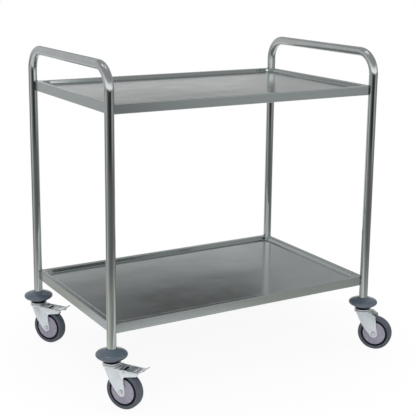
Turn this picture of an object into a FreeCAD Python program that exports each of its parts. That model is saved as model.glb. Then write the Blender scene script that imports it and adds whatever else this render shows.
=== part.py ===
"""Two-shelf stainless serving trolley on four swivel casters, as a parametric document.

Row frame, millimetres: +X along the shelves, +Y across them, +Z up. The origin is on the
floor, midway between the four posts. A caster's own frame has +X along its trail, +Y along
its axle and +Z up from the floor, below its post.
"""
import FreeCAD, Part
import math
import os

import Sketcher

Vector = FreeCAD.Vector
doc = FreeCAD.newDocument("ServingTrolley")

# Driving dimensions
SIZES = {
    # Tube frames
    "shelf_length": 830,
    "shelf_depth": 520,
    "handle_height": 885,
    "handle_rise": 93,
    "tube_diameter": 25.4,
    "tube_wall": 1.2,
    "handle_bend_radius": 62,
    # Shelves
    "lower_shelf_rise": 98,
    "sheet": 1,
    "skirt_height": 27,
    "hem_width": 11,
    "rim_width": 16,
    "slope_width": 8,
    "recess_depth": 9,
    "recess_corner_radius": 30,
    "bend_radius": 1.6,
    "notch_gap": 0.3,
    # Stiffeners below the shelves
    "stiffener_spacing": 400,
    "stiffener_width": 40,
    "stiffener_height": 14,
    "stiffener_flange": 13,
    "stiffener_setback": 24,
    # Corner saddles, bolts and thread inserts
    "saddle_leg": 34,
    "saddle_height": 22,
    "bolt_radius": 3,
    "bolt_head_width": 10,
    "bolt_head_height": 4,
    "bolt_end_gap": 3,
    "washer_radius": 6.2,
    "washer_height": 1.4,
    "insert_radius": 4.4,
    "insert_length": 10.4,
    "insert_inset": 0.75,
    "insert_collar_radius": 5.8,
    "insert_collar_height": 2,
    "seat_gap": 0.05,
    "clearance": 0.3,
    # Bumper rings
    "bumper_diameter": 85,
    "bumper_rise": 15.5,
    "bumper_drop": 12,
    "bumper_rim_radius": 5,
    "bumper_foot_radius": 23,
    # Caster heads
    "collar_radius": 20.8,
    "collar_height": 6,
    "sleeve_length": 42,
    "sleeve_slot": 2.4,
    "king_bolt_radius": 5,
    "king_head_width": 16,
    "king_head_height": 6,
    "king_nut_height": 8,
    "head_radius": 24.5,
    "head_height": 5.2,
    "head_edge": 1.6,
    "ball_radius": 2,
    "ball_circle_radius": 14,
    "cage_half_width": 3,
    "cage_height": 1,
    "dust_ring_width": 3.6,
    "dust_ring_height": 3.7,
    # Forks
    "trail": 40,
    "fork_plate": 2.5,
    "fork_gap": 36,
    "fork_tip_radius": 11.2,
    "fork_front": 15,
    "fork_front_drop": 8.5,
    "fork_waist_drop": 39,
    "fork_waist_reach": 2.5,
    "fork_back_drop": 28.5,
    "fork_back_reach": 46.5,
    "plain_crown_back": 42,
    "crown_scoop_radius": 13,
    "braked_crown_back": 26,
    "arm_fillet": 9,
    "arm_root_drop": 17.5,
    "arm_end_drop": 10.5,
    "arm_end_reach": 86,
    "arm_top_reach": 94.5,
    # Wheels and axles
    "wheel_diameter": 100,
    "wheel_gap": 10,
    "tyre_width": 25,
    "tyre_depth": 11,
    "tyre_shoulder": 3.5,
    "rim_depth": 6,
    "rim_lip": 2.7,
    "guard_inset": 1,
    "guard_sheet": 1.3,
    "guard_dish": 2.2,
    "web_width": 7,
    "hub_radius": 15,
    "hub_gap": 0.7,
    "bearing_radius": 9.5,
    "axle_sleeve_radius": 6,
    "axle_radius": 4,
    "axle_head_width": 13,
    "axle_head_height": 5,
    "axle_nut_height": 6.5,
    "axle_end": 2,
    "running_gap": 0.05,
    # Brakes
    "brake_pivot_reach": 48,
    "brake_pivot_drop": 6.5,
    "brake_pin_radius": 2.5,
    "brake_pin_head_radius": 4.4,
    "brake_pin_head_height": 1.4,
    "pedal_sheet": 2.2,
    "pedal_half_width": 14,
    "pedal_start": 37,
    "pedal_drop": 1.1,
    "pedal_bend_reach": 84,
    "pedal_lip_reach": 109.5,
    "pedal_lip_rise": 13,
    "pedal_knee_reach": 95,
    "pedal_knee_rise": 2,
    "pedal_ear_half_length": 6.5,
    "pedal_ear_drop": 4.6,
    "shoe_start": 58,
    "shoe_end": 74,
    "shoe_half_width": 9,
    "brake_throw": 9,
    "shoe_end_gap": 0.45,
    # Directions in which the casters trail, in degrees from +X
    "trail_angle_front_left": -58,
    "trail_angle_back_left": -58,
    "trail_angle_front_right": -53,
    "trail_angle_back_right": -53,
}
BALLS = 16
# Height of the bumper's crown line at its middle, as a share of its rise, and where it lies
BUMPER_SHOULDER_share = 0.36
BUMPER_MIDDLE_share = 0.68

sheet = doc.addObject("Spreadsheet::Sheet", "sizes")
for row, (alias, value) in enumerate(SIZES.items(), start=1):
    sheet.set(f"A{row}", alias)
    sheet.set(f"B{row}", str(value))
    sheet.setAlias(f"B{row}", alias)
doc.recompute()
S = type("Sizes", (), {alias: float(sheet.get(alias)) for alias in SIZES})

# Heights above the floor that stack up from the wheels, or down from the handles
CROWN_TOP = "(sizes.wheel_diameter + sizes.wheel_gap + sizes.fork_plate)"
CASTER_TOP = f"({CROWN_TOP} + sizes.clearance + 2 * sizes.ball_radius + sizes.head_height)"
POST_FOOT = f"({CASTER_TOP} + sizes.collar_height)"
UPPER_RIM = "(sizes.handle_height - sizes.handle_rise)"
LOWER_RIM = f"({CASTER_TOP} + sizes.lower_shelf_rise)"
BRAKE_PIVOT = f"({CROWN_TOP} - sizes.brake_pivot_drop)"

# The same heights and other places as numbers, for the points of outlines
half_length = S.shelf_length / 2
half_depth = S.shelf_depth / 2
tube_radius = S.tube_diameter / 2
tube_bore = tube_radius - S.tube_wall
crown_bottom = S.wheel_diameter + S.wheel_gap
crown_top = crown_bottom + S.fork_plate
caster_top = crown_top + S.clearance + 2 * S.ball_radius + S.head_height
post_foot = caster_top + S.collar_height
upper_rim = S.handle_height - S.handle_rise
lower_rim = caster_top + S.lower_shelf_rise
wheel_radius = S.wheel_diameter / 2
tyre_seat = wheel_radius - S.tyre_depth
brake_pivot = (S.brake_pivot_reach, crown_top - S.brake_pivot_drop)

CORNERS = {
    "front_left": (-1, -1, S.trail_angle_front_left, True),
    "back_left": (-1, 1, S.trail_angle_back_left, True),
    "front_right": (1, -1, S.trail_angle_front_right, False),
    "back_right": (1, 1, S.trail_angle_back_right, False),
}
NODES = []


def node(thing, label):
    """Names an object as a sub-part that gets its own file."""
    thing.Label = label
    NODES.append(thing)
    return thing


def bind(thing, **expressions):
    """Ties an object's properties to the sheet."""
    for name, expression in expressions.items():
        thing.setExpression(name.replace("__", "."), expression)
    return thing


def place(thing, side_x, side_y, height, turn=0.0):
    """Puts an object below, at or above a post, bound to the shelf's length and depth."""
    thing.Placement = FreeCAD.Placement(Vector(), FreeCAD.Rotation(Vector(0, 0, 1), turn))
    thing.setExpression("Placement.Base.x", f"{side_x} * sizes.shelf_length / 2")
    thing.setExpression("Placement.Base.y", f"{side_y} * sizes.shelf_depth / 2")
    thing.setExpression("Placement.Base.z", height)
    return thing


def new_body(name):
    return doc.addObject("PartDesign::Body", name)


def origin_part(body, role):
    return next(part for part in body.Origin.OriginFeatures if part.Role == role)


def new_sketch(body, plane="XY_Plane", offset="0", tilt=None):
    """A sketch on one of the body's planes, moved along its normal, or tilted at a place."""
    sketch = body.newObject("Sketcher::SketchObject", body.Name + "_sketch")
    sketch.AttachmentSupport = (origin_part(body, plane), [""])
    sketch.MapMode = "FlatFace"
    if tilt is not None:
        sketch.AttachmentOffset = tilt
    else:
        sketch.setExpression("AttachmentOffset.Base.z", offset)
    return sketch


def draw(sketch, points, closed=True):
    """Joins points by lines. A point written as (through, end) is reached by an arc."""
    place_now = points[0]
    steps = points[1:] + ([points[0]] if closed else [])
    for step in steps:
        start = Vector(*place_now, 0)
        if isinstance(step[0], tuple):
            through, place_now = step
            edge = Part.Arc(start, Vector(*through, 0), Vector(*place_now, 0))
        else:
            place_now = step
            edge = Part.LineSegment(start, Vector(*place_now, 0))
        sketch.addGeometry(edge)


def circle(sketch, radius, expression, centre=(0, 0)):
    """A circle whose radius is bound to the sheet."""
    index = sketch.addGeometry(Part.Circle(Vector(*centre, 0), Vector(0, 0, 1), radius))
    constraint = sketch.addConstraint(Sketcher.Constraint("Radius", index, radius))
    sketch.setExpression(f"Constraints[{constraint}]", expression)
    return index


def pad(body, sketch, length, middle=False, reverse=False):
    feature = body.newObject("PartDesign::Pad", body.Name + "_pad")
    feature.Profile = sketch
    feature.setExpression("Length", length)
    feature.Midplane = middle
    feature.Reversed = reverse
    sketch.Visibility = False
    doc.recompute()
    return feature


def pocket(body, sketch, length, middle=False, reverse=False):
    """Cuts, and makes sure that the cut took something away."""
    before = body.Shape.Volume
    feature = body.newObject("PartDesign::Pocket", body.Name + "_pocket")
    feature.Profile = sketch
    feature.setExpression("Length", length)
    feature.Midplane = middle
    feature.Reversed = reverse
    doc.recompute()
    if not body.Shape.Volume < before:
        raise RuntimeError(f"{feature.Name} cuts nothing")
    return feature


def revolve(body, sketch, axis="Y_Axis"):
    feature = body.newObject("PartDesign::Revolution", body.Name + "_revolution")
    feature.Profile = sketch
    feature.ReferenceAxis = (origin_part(body, axis), [""])
    feature.Angle = 360
    doc.recompute()
    return feature


def loft(body, kind, first, last):
    feature = body.newObject(kind, body.Name + "_loft")
    feature.Profile = first
    feature.Sections = [last]
    feature.Ruled = True
    doc.recompute()
    return feature


def cylinder(name, radius, height, bottom="0"):
    """An upright round rod, bound to the sheet."""
    rod = doc.addObject("Part::Cylinder", name)
    return bind(rod, Radius=radius, Height=height, Placement__Base__z=bottom)


def hexagon(name, width, height, bottom="0"):
    """An upright hexagonal prism by its width across the flats."""
    prism = doc.addObject("Part::Prism", name)
    prism.Polygon = 6
    return bind(prism, Circumradius=f"{width} / sqrt(3)", Height=height, Placement__Base__z=bottom)


def fuse(name, pieces):
    joined = doc.addObject("Part::MultiFuse", name)
    joined.Shapes = pieces
    return joined


def cut(name, base, tool):
    result = doc.addObject("Part::Cut", name)
    result.Base = base
    result.Tool = tool
    return result


def compound(name, pieces):
    group = doc.addObject("Part::Compound", name)
    group.Links = pieces
    return group


def upright_to(direction):
    """The turn that takes +Z to a level direction."""
    return FreeCAD.Rotation(Vector(0, 0, 1), Vector(*direction))


# Shelf corners: bolt axes point from a post's axis to the inside of the shelf at 45 degrees
bolt_drop = S.sheet + S.saddle_height / 2


def inward(side_x, side_y):
    return (-side_x / math.sqrt(2), -side_y / math.sqrt(2), 0)


def tube_frame(label, side_x):
    """A bent tube: two posts and the handle between them, with holes for the inserts."""
    body = new_body(label)
    path = new_sketch(body, "YZ_Plane")
    bend = S.handle_bend_radius
    far = bend * (1 - math.sqrt(0.5))
    top = S.handle_height
    draw(path, [
        (-half_depth, post_foot),
        (-half_depth, top - bend),
        ((-half_depth + far, top - far), (-half_depth + bend, top)),
        (half_depth - bend, top),
        ((half_depth - far, top - far), (half_depth, top - bend)),
        (half_depth, post_foot),
    ], closed=False)
    section = new_sketch(body, "XY_Plane", POST_FOOT)
    circle(section, tube_radius, "sizes.tube_diameter / 2", (0, -half_depth))
    circle(section, tube_bore, "sizes.tube_diameter / 2 - sizes.tube_wall", (0, -half_depth))
    pipe = body.newObject("PartDesign::AdditivePipe", label + "_pipe")
    pipe.Profile = section
    pipe.Spine = path
    doc.recompute()
    for side_y in (-1, 1):
        for height in (upper_rim, lower_rim):
            seat = FreeCAD.Placement(
                Vector(0, side_y * half_depth, height - bolt_drop),
                upright_to(inward(side_x, side_y)),
            )
            hole = new_sketch(body, tilt=seat)
            circle(hole, S.insert_radius + S.seat_gap, "sizes.insert_radius + sizes.seat_gap")
            pocket(body, hole, "sizes.tube_diameter / 2 + sizes.clearance", reverse=True)
    body.setExpression("Placement.Base.x", f"{side_x} * sizes.shelf_length / 2")
    return node(body, label)


def notched(inset, notch_radius):
    """The shelf's outline, inset from its edge, with a round notch at each post."""
    long_half = half_length - inset
    short_half = half_depth - inset
    reach = math.sqrt(notch_radius ** 2 - inset ** 2)
    middle = notch_radius * math.sqrt(0.5)
    x_end = half_length - reach
    y_end = half_depth - reach
    x_mid = half_length - middle
    y_mid = half_depth - middle
    return [
        (-x_end, -short_half),
        (x_end, -short_half),
        ((x_mid, -y_mid), (long_half, -y_end)),
        (long_half, y_end),
        ((x_mid, y_mid), (x_end, short_half)),
        (-x_end, short_half),
        ((-x_mid, y_mid), (-long_half, y_end)),
        (-long_half, -y_end),
        ((-x_mid, -y_mid), (-x_end, -short_half)),
    ]


def rounded(long_half, short_half, radius):
    """A rectangle with round corners."""
    far = radius * (1 - math.sqrt(0.5))
    x_in = long_half - radius
    y_in = short_half - radius
    x_mid = long_half - far
    y_mid = short_half - far
    return [
        (-x_in, -short_half),
        (x_in, -short_half),
        ((x_mid, -y_mid), (long_half, -y_in)),
        (long_half, y_in),
        ((x_mid, y_mid), (x_in, short_half)),
        (-x_in, short_half),
        ((-x_mid, y_mid), (-long_half, y_in)),
        (-long_half, -y_in),
        ((-x_mid, -y_mid), (-x_in, -short_half)),
    ]


def outline(sketch, points):
    """A closed outline whose last arc already ends where it starts."""
    draw(sketch, points, closed=False)


def shelf(label, height):
    """A pressed sheet: flat rim, sloped wall, sunk floor, skirt and a hem turned in below."""
    body = new_body(label)
    notch = tube_radius + S.notch_gap
    top = new_sketch(body)
    outline(top, notched(0, notch))
    pad(body, top, "sizes.skirt_height", reverse=True)
    below = new_sketch(body, offset="-sizes.skirt_height")
    outline(below, notched(S.sheet, notch))
    pocket(body, below, "sizes.skirt_height - sizes.sheet", reverse=True)
    hem = new_sketch(body, offset="-sizes.skirt_height")
    outline(hem, notched(S.sheet / 2, notch))
    inner_hem = S.sheet + S.hem_width
    outline(hem, rounded(half_length - inner_hem, half_depth - inner_hem, S.saddle_leg - inner_hem))
    pad(body, hem, "sizes.sheet")
    long_top = half_length - S.rim_width
    short_top = half_depth - S.rim_width
    long_low = long_top - S.slope_width
    short_low = short_top - S.slope_width
    low_radius = S.recess_corner_radius - S.slope_width
    pan_top = new_sketch(body)
    outline(pan_top, rounded(long_top + S.sheet, short_top + S.sheet, S.recess_corner_radius + S.sheet))
    pan_low = new_sketch(body, offset="-sizes.recess_depth - sizes.sheet")
    outline(pan_low, rounded(long_low + S.sheet, short_low + S.sheet, low_radius + S.sheet))
    loft(body, "PartDesign::AdditiveLoft", pan_top, pan_low)
    sink_top = new_sketch(body)
    outline(sink_top, rounded(long_top, short_top, S.recess_corner_radius))
    sink_low = new_sketch(body, offset="-sizes.recess_depth")
    outline(sink_low, rounded(long_low, short_low, low_radius))
    loft(body, "PartDesign::SubtractiveLoft", sink_top, sink_low)
    straight = [
        f"Edge{number}"
        for number, edge in enumerate(body.Shape.Edges, start=1)
        if abs(edge.BoundBox.ZMax) < S.seat_gap / 2 and abs(edge.BoundBox.ZMin) < S.seat_gap / 2
        and edge.Length > 2 * half_depth - 4 * notch
        and (abs(abs(edge.CenterOfMass.x) - half_length) < S.seat_gap
             or abs(abs(edge.CenterOfMass.y) - half_depth) < S.seat_gap)
    ]
    pressed = body.Tip
    bend = body.newObject("PartDesign::Fillet", label + "_bend")
    bend.Base = (pressed, straight)
    bend.setExpression("Radius", "sizes.bend_radius")
    doc.recompute()
    body.setExpression("Placement.Base.z", height)
    return node(body, label)


def stiffeners(label, height):
    """Two hat-shaped channels across the shelf, spot-welded to its sunk floor."""
    body = new_body(label)
    hats = new_sketch(body, "XZ_Plane")
    crown_half = S.stiffener_width / 2
    wall = S.sheet
    for middle in (-S.stiffener_spacing / 2, S.stiffener_spacing / 2):
        foot = crown_half + S.stiffener_flange
        right = [
            (foot, 0),
            (foot, -wall),
            (crown_half, -wall),
            (crown_half, -S.stiffener_height),
            (-crown_half, -S.stiffener_height),
            (-crown_half, -wall),
            (-foot, -wall),
            (-foot, 0),
            (-crown_half + wall, 0),
            (-crown_half + wall, -S.stiffener_height + wall),
            (crown_half - wall, -S.stiffener_height + wall),
            (crown_half - wall, 0),
        ]
        draw(hats, [(middle + across, up) for across, up in right])
    inset = "(sizes.rim_width + sizes.slope_width + sizes.stiffener_setback)"
    pad(body, hats, f"sizes.shelf_depth - 2 * {inset}", middle=True)
    body.setExpression("Placement.Base.z", f"{height} - sizes.recess_depth - sizes.sheet")
    return node(body, label)


def saddle(name, side_x, side_y, height):
    """A corner block welded into the shelf, hollowed to the post and bored for its bolt."""
    body = new_body(name)
    plan = new_sketch(body, offset="-sizes.sheet - sizes.saddle_height")
    hollow = tube_radius + S.seat_gap
    near = S.sheet + S.seat_gap
    reach = math.sqrt(hollow ** 2 - near ** 2)
    middle = hollow * math.sqrt(0.5)
    leg = S.saddle_leg
    points = [(reach, near), (leg, near), (near, leg), (near, reach), ((middle, middle), (reach, near))]

    def inside(point):
        return (-side_x * point[0], -side_y * point[1])

    turned = [(inside(p[0]), inside(p[1])) if isinstance(p[0], tuple) else inside(p) for p in points]
    outline(plan, turned)
    pad(body, plan, "sizes.saddle_height")
    seat = FreeCAD.Placement(Vector(0, 0, -bolt_drop), upright_to(inward(side_x, side_y)))
    hole = new_sketch(body, tilt=seat)
    circle(hole, S.bolt_radius + S.clearance, "sizes.bolt_radius + sizes.clearance")
    pocket(body, hole, "sizes.saddle_leg", reverse=True)
    return place(body, side_x, side_y, height)


def at_bolt(thing, side_x, side_y, height):
    """Lays an upright piece along a shelf bolt's axis, from the post's axis inward."""
    thing.Placement = FreeCAD.Placement(Vector(), upright_to(inward(side_x, side_y)))
    thing.setExpression("Placement.Base.x", f"{side_x} * sizes.shelf_length / 2")
    thing.setExpression("Placement.Base.y", f"{side_y} * sizes.shelf_depth / 2")
    thing.setExpression("Placement.Base.z", f"{height} - sizes.sheet - sizes.saddle_height / 2")
    return thing


def shelf_bolt(name, side_x, side_y, height):
    """A hexagon bolt with its washer on the saddle's flat face."""
    face = "(sizes.saddle_leg + sizes.sheet + sizes.seat_gap) / sqrt(2)"
    shank = cylinder(
        name + "_shank", "sizes.bolt_radius",
        f"{face} + sizes.washer_height - sizes.bolt_end_gap", "sizes.bolt_end_gap",
    )
    head = hexagon(
        name + "_head", "sizes.bolt_head_width", "sizes.bolt_head_height",
        f"{face} + sizes.washer_height",
    )
    washer = cylinder(name + "_washer", "sizes.washer_radius", "sizes.washer_height", face)
    return at_bolt(fuse(name, [shank, head, washer]), side_x, side_y, height)


def thread_insert(name, side_x, side_y, height):
    """A blind rivet nut: its barrel sits in the post's wall, its collar grips from inside."""
    outer = "(sizes.tube_diameter / 2 - sizes.insert_inset)"
    barrel = cylinder(
        name + "_barrel", "sizes.insert_radius", "sizes.insert_length", f"{outer} - sizes.insert_length"
    )
    bore_depth = "sqrt((sizes.tube_diameter / 2 - sizes.tube_wall)^2 - sizes.insert_collar_radius^2)"
    collar = cylinder(
        name + "_collar", "sizes.insert_collar_radius", "sizes.insert_collar_height",
        f"{bore_depth} - sizes.seat_gap - sizes.insert_collar_height",
    )
    thread = cylinder(name + "_thread", "sizes.bolt_radius + sizes.running_gap", "sizes.tube_diameter")
    made = cut(name, fuse(name + "_solid", [barrel, collar]), thread)
    return at_bolt(made, side_x, side_y, height)


# Tube frames, shelves and what holds them together
tube_frame("left_tube_frame", -1)
tube_frame("right_tube_frame", 1)
SHELVES = {"upper": UPPER_RIM, "lower": LOWER_RIM}
saddles = []
bolts = []
inserts = []
for shelf_name, rim_height in SHELVES.items():
    shelf(shelf_name + "_shelf", rim_height)
    stiffeners(shelf_name + "_shelf_stiffeners", rim_height)
    for corner, (x_sign, y_sign, _, _) in CORNERS.items():
        where = f"{shelf_name}_{corner}"
        saddles.append(saddle("saddle_" + where, x_sign, y_sign, rim_height))
        bolts.append(shelf_bolt("bolt_" + where, x_sign, y_sign, rim_height))
        inserts.append(thread_insert("insert_" + where, x_sign, y_sign, rim_height))
node(compound("saddles", saddles), "shelf_corner_saddles")
node(compound("bolts", bolts), "shelf_bolts")
node(compound("inserts", inserts), "post_thread_inserts")


def bumper(corner, side_x, side_y):
    """A saucer-shaped rubber ring round the foot of a post."""
    body = new_body("bumper_" + corner)
    section = new_sketch(body, "XZ_Plane")
    bore = tube_radius + S.seat_gap
    reach = S.bumper_diameter / 2
    rim = S.bumper_rim_radius
    drop = S.bumper_drop
    rise = S.bumper_rise
    crown_reach = bore + (reach - rim - bore) * BUMPER_MIDDLE_share
    crown_rise = rim + (rise - rim) * BUMPER_SHOULDER_share + S.seat_gap
    foot = S.bumper_foot_radius
    waist = ((foot + reach - rim) / 2, -(drop + rim) / 2 - rim * (1 - math.sqrt(0.5)))
    outline(section, [
        (bore, -drop),
        (foot, -drop),
        (waist, (reach - rim, -rim)),
        ((reach, 0), (reach - rim, rim)),
        ((crown_reach, crown_rise), (bore + rim / 2, rise)),
        (bore, rise),
        (bore, -drop),
    ])
    revolve(body, section, "Z_Axis")
    place(body, side_x, side_y, POST_FOOT + " + sizes.bumper_drop")
    return node(body, "bumper_" + corner)


def caster_expander(corner, side_x, side_y):
    """A plastic collar under the post and its slotted sleeve, spread inside the tube."""
    top = cylinder("collar_" + corner, "sizes.collar_radius", "sizes.collar_height")
    sleeve = cylinder(
        "sleeve_" + corner, "sizes.tube_diameter / 2 - sizes.tube_wall - sizes.seat_gap",
        "sizes.collar_height + sizes.sleeve_length",
    )
    bore = cylinder(
        "bore_" + corner, "sizes.king_bolt_radius + sizes.seat_gap",
        "sizes.collar_height + sizes.sleeve_length",
    )
    slot = doc.addObject("Part::Box", "slot_" + corner)
    bind(
        slot,
        Length="sizes.tube_diameter",
        Width="sizes.sleeve_slot",
        Height="sizes.sleeve_length",
        Placement__Base__x="-sizes.tube_diameter / 2",
        Placement__Base__y="-sizes.sleeve_slot / 2",
        Placement__Base__z="2 * sizes.collar_height",
    )
    solid = fuse("expander_solid_" + corner, [top, sleeve])
    made = cut("expander_" + corner, solid, fuse("expander_cuts_" + corner, [bore, slot]))
    place(made, side_x, side_y, CASTER_TOP)
    return node(made, "caster_expander_" + corner)


def king_bolt(corner, side_x, side_y):
    """The caster's bolt: its head below the crown, its nut on top of the sleeve."""
    crown = f"({CROWN_TOP} - sizes.fork_plate - sizes.clearance)"
    sleeve_top = f"({POST_FOOT} + sizes.sleeve_length)"
    head = hexagon(
        "king_head_" + corner, "sizes.king_head_width", "sizes.king_head_height",
        f"{crown} - sizes.king_head_height",
    )
    nut = hexagon("king_nut_" + corner, "sizes.king_head_width", "sizes.king_nut_height", sleeve_top)
    shank = cylinder(
        "king_shank_" + corner, "sizes.king_bolt_radius",
        f"{sleeve_top} + sizes.king_nut_height + sizes.king_bolt_radius / 2 - {crown}", crown,
    )
    made = fuse("king_" + corner, [head, shank, nut])
    place(made, side_x, side_y, "0")
    return node(made, "king_bolt_" + corner)


def caster_head(corner, side_x, side_y):
    """The plated upper cup, clamped under the collar."""
    body = new_body("caster_head_" + corner)
    section = new_sketch(body, "XZ_Plane")
    bore = S.king_bolt_radius + S.seat_gap
    reach = S.head_radius
    edge = S.head_edge
    far = edge * (1 - math.sqrt(0.5))
    height = S.head_height
    outline(section, [
        (bore, 0),
        (reach - edge, 0),
        ((reach - far, far), (reach, edge)),
        (reach, height - edge),
        ((reach - far, height - far), (reach - edge, height)),
        (bore, height),
        (bore, 0),
    ])
    revolve(body, section, "Z_Axis")
    place(body, side_x, side_y, CASTER_TOP + " - sizes.head_height")
    return node(body, "caster_head_" + corner)


def ball_ring(corner, side_x, side_y, turn):
    """The swivel's balls, each in a pocket of a flat cage, on the crown."""
    balls = []
    pockets = []
    for number in range(BALLS):
        angle = 2 * math.pi * number / BALLS
        across = f"sizes.ball_circle_radius * {math.cos(angle)}"
        along = f"sizes.ball_circle_radius * {math.sin(angle)}"
        ball = doc.addObject("Part::Sphere", f"ball_{corner}_{number}")
        bind(ball, Radius="sizes.ball_radius", Placement__Base__z="sizes.ball_radius")
        bind(ball, Placement__Base__x=across, Placement__Base__y=along)
        balls.append(ball)
        room = cylinder(
            f"ball_room_{corner}_{number}", "sizes.ball_radius + sizes.seat_gap", "2 * sizes.ball_radius"
        )
        pockets.append(bind(room, Placement__Base__x=across, Placement__Base__y=along))
    low = "sizes.ball_radius - sizes.cage_height / 2"
    outer = cylinder(
        "cage_outer_" + corner, "sizes.ball_circle_radius + sizes.cage_half_width", "sizes.cage_height", low
    )
    inner = cylinder(
        "cage_inner_" + corner, "sizes.ball_circle_radius - sizes.cage_half_width", "sizes.cage_height", low
    )
    cage = cut("cage_" + corner, outer, fuse("cage_holes_" + corner, [inner] + pockets))
    made = compound("balls_" + corner, balls + [cage])
    place(made, side_x, side_y, CROWN_TOP, turn)
    return node(made, "ball_ring_" + corner)


def tangent_point(outside, centre, radius, side):
    """Where the line from a point outside a circle touches it."""
    along = math.atan2(outside[1] - centre[1], outside[0] - centre[0])
    swing = math.acos(radius / math.dist(outside, centre))
    angle = along + side * swing
    return (centre[0] + radius * math.cos(angle), centre[1] + radius * math.sin(angle))


def fork(corner, side_x, side_y, turn, braked):
    """A pressed fork: crown, dust ring and two cheeks, with arms for the brake."""
    body = new_body("fork_" + corner)
    axle = (S.trail, wheel_radius)
    tip = S.fork_tip_radius
    waist = (S.fork_waist_reach, crown_top - S.fork_waist_drop)
    back = (S.fork_back_reach, crown_top - S.fork_back_drop)
    front_touch = tangent_point(waist, axle, tip, 1)
    back_touch = tangent_point(back, axle, tip, -1)
    cheek = [
        (-S.fork_front, crown_top),
        (-S.fork_front, crown_top - S.fork_front_drop),
        waist,
        front_touch,
        ((axle[0], axle[1] - tip), back_touch),
    ]
    if braked:
        fillet = S.arm_fillet
        bow = fillet * (1 - math.sqrt(0.5))
        root = crown_top - S.arm_root_drop
        cheek += [
            (back[0], root - fillet),
            ((back[0] + bow, root - bow), (back[0] + fillet, root)),
            (S.arm_end_reach, crown_top - S.arm_end_drop),
            (S.arm_top_reach, crown_top),
        ]
        crown_back = S.braked_crown_back
    else:
        cheek += [back, (S.plain_crown_back, crown_top)]
        crown_back = S.plain_crown_back
    sides = new_sketch(body, "XZ_Plane")
    draw(sides, cheek)
    pad(body, sides, "sizes.fork_gap + 2 * sizes.fork_plate", middle=True)
    space = new_sketch(body, "XZ_Plane")
    beyond = S.arm_top_reach + tip
    low = wheel_radius - 2 * tip
    inner = [(-2 * S.head_radius, low), (beyond, low)]
    if braked:
        inner += [(beyond, crown_top + tip), (crown_back, crown_top + tip), (crown_back, crown_bottom)]
    else:
        inner += [(beyond, crown_bottom)]
    inner += [(-2 * S.head_radius, crown_bottom)]
    draw(space, inner)
    pocket(body, space, "sizes.fork_gap", middle=True)
    crown = new_sketch(body, offset=CROWN_TOP + " - sizes.fork_plate")
    circle(crown, S.head_radius, "sizes.head_radius")
    pad(body, crown, "sizes.fork_plate")
    dust = new_sketch(body, offset=CROWN_TOP)
    circle(dust, S.head_radius, "sizes.head_radius")
    circle(dust, S.head_radius - S.dust_ring_width, "sizes.head_radius - sizes.dust_ring_width")
    pad(body, dust, "sizes.dust_ring_height")
    hole = new_sketch(body, offset=CROWN_TOP)
    circle(hole, S.king_bolt_radius + S.running_gap, "sizes.king_bolt_radius + sizes.running_gap")
    pocket(body, hole, "sizes.fork_plate")
    if not braked:
        scoop = new_sketch(body, offset=CROWN_TOP)
        radius = S.crown_scoop_radius
        circle(scoop, radius, "sizes.crown_scoop_radius", (crown_back + S.fork_plate, 0))
        pocket(body, scoop, "sizes.fork_plate")
    axle_hole = new_sketch(body, "XZ_Plane")
    circle(axle_hole, S.axle_radius + S.seat_gap, "sizes.axle_radius + sizes.seat_gap", axle)
    pocket(body, axle_hole, "2 * sizes.fork_gap", middle=True)
    if braked:
        pin_hole = new_sketch(body, "XZ_Plane")
        pin_bore = "sizes.brake_pin_radius + sizes.seat_gap"
        circle(pin_hole, S.brake_pin_radius + S.seat_gap, pin_bore, brake_pivot)
        pocket(body, pin_hole, "2 * sizes.fork_gap", middle=True)
    place(body, side_x, side_y, "0", turn)
    return node(body, "fork_" + corner)


def lay_across(thing, corner, reach, height):
    """Lays an upright piece across the fork at a reach and height in the caster's frame."""
    side_x, side_y, turn, _ = CORNERS[corner]
    level = FreeCAD.Rotation(Vector(0, 0, 1), turn) * FreeCAD.Rotation(Vector(1, 0, 0), 90)
    thing.Placement = FreeCAD.Placement(Vector(), level)
    x_part = f"{math.cos(math.radians(turn))} * {reach}"
    y_part = f"{math.sin(math.radians(turn))} * {reach}"
    thing.setExpression("Placement.Base.x", f"{side_x} * sizes.shelf_length / 2 + {x_part}")
    thing.setExpression("Placement.Base.y", f"{side_y} * sizes.shelf_depth / 2 + {y_part}")
    thing.setExpression("Placement.Base.z", height)
    return thing


def axle(corner):
    """The wheel bolt with its spacer sleeve and locknut."""
    outer = "(sizes.fork_gap / 2 + sizes.fork_plate)"
    shank = cylinder(
        "axle_shank_" + corner, "sizes.axle_radius",
        f"2 * {outer} + sizes.axle_nut_height + sizes.axle_end",
        f"-{outer} - sizes.axle_nut_height - sizes.axle_end",
    )
    head = hexagon("axle_head_" + corner, "sizes.axle_head_width", "sizes.axle_head_height", outer)
    nut = hexagon(
        "axle_nut_" + corner, "sizes.axle_head_width", "sizes.axle_nut_height",
        f"-{outer} - sizes.axle_nut_height",
    )
    sleeve = cylinder(
        "axle_sleeve_" + corner, "sizes.axle_sleeve_radius", "sizes.fork_gap", "-sizes.fork_gap / 2"
    )
    made = fuse("axle_" + corner, [shank, head, nut, sleeve])
    return node(lay_across(made, corner, "sizes.trail", "sizes.wheel_diameter / 2"), "axle_" + corner)


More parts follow.
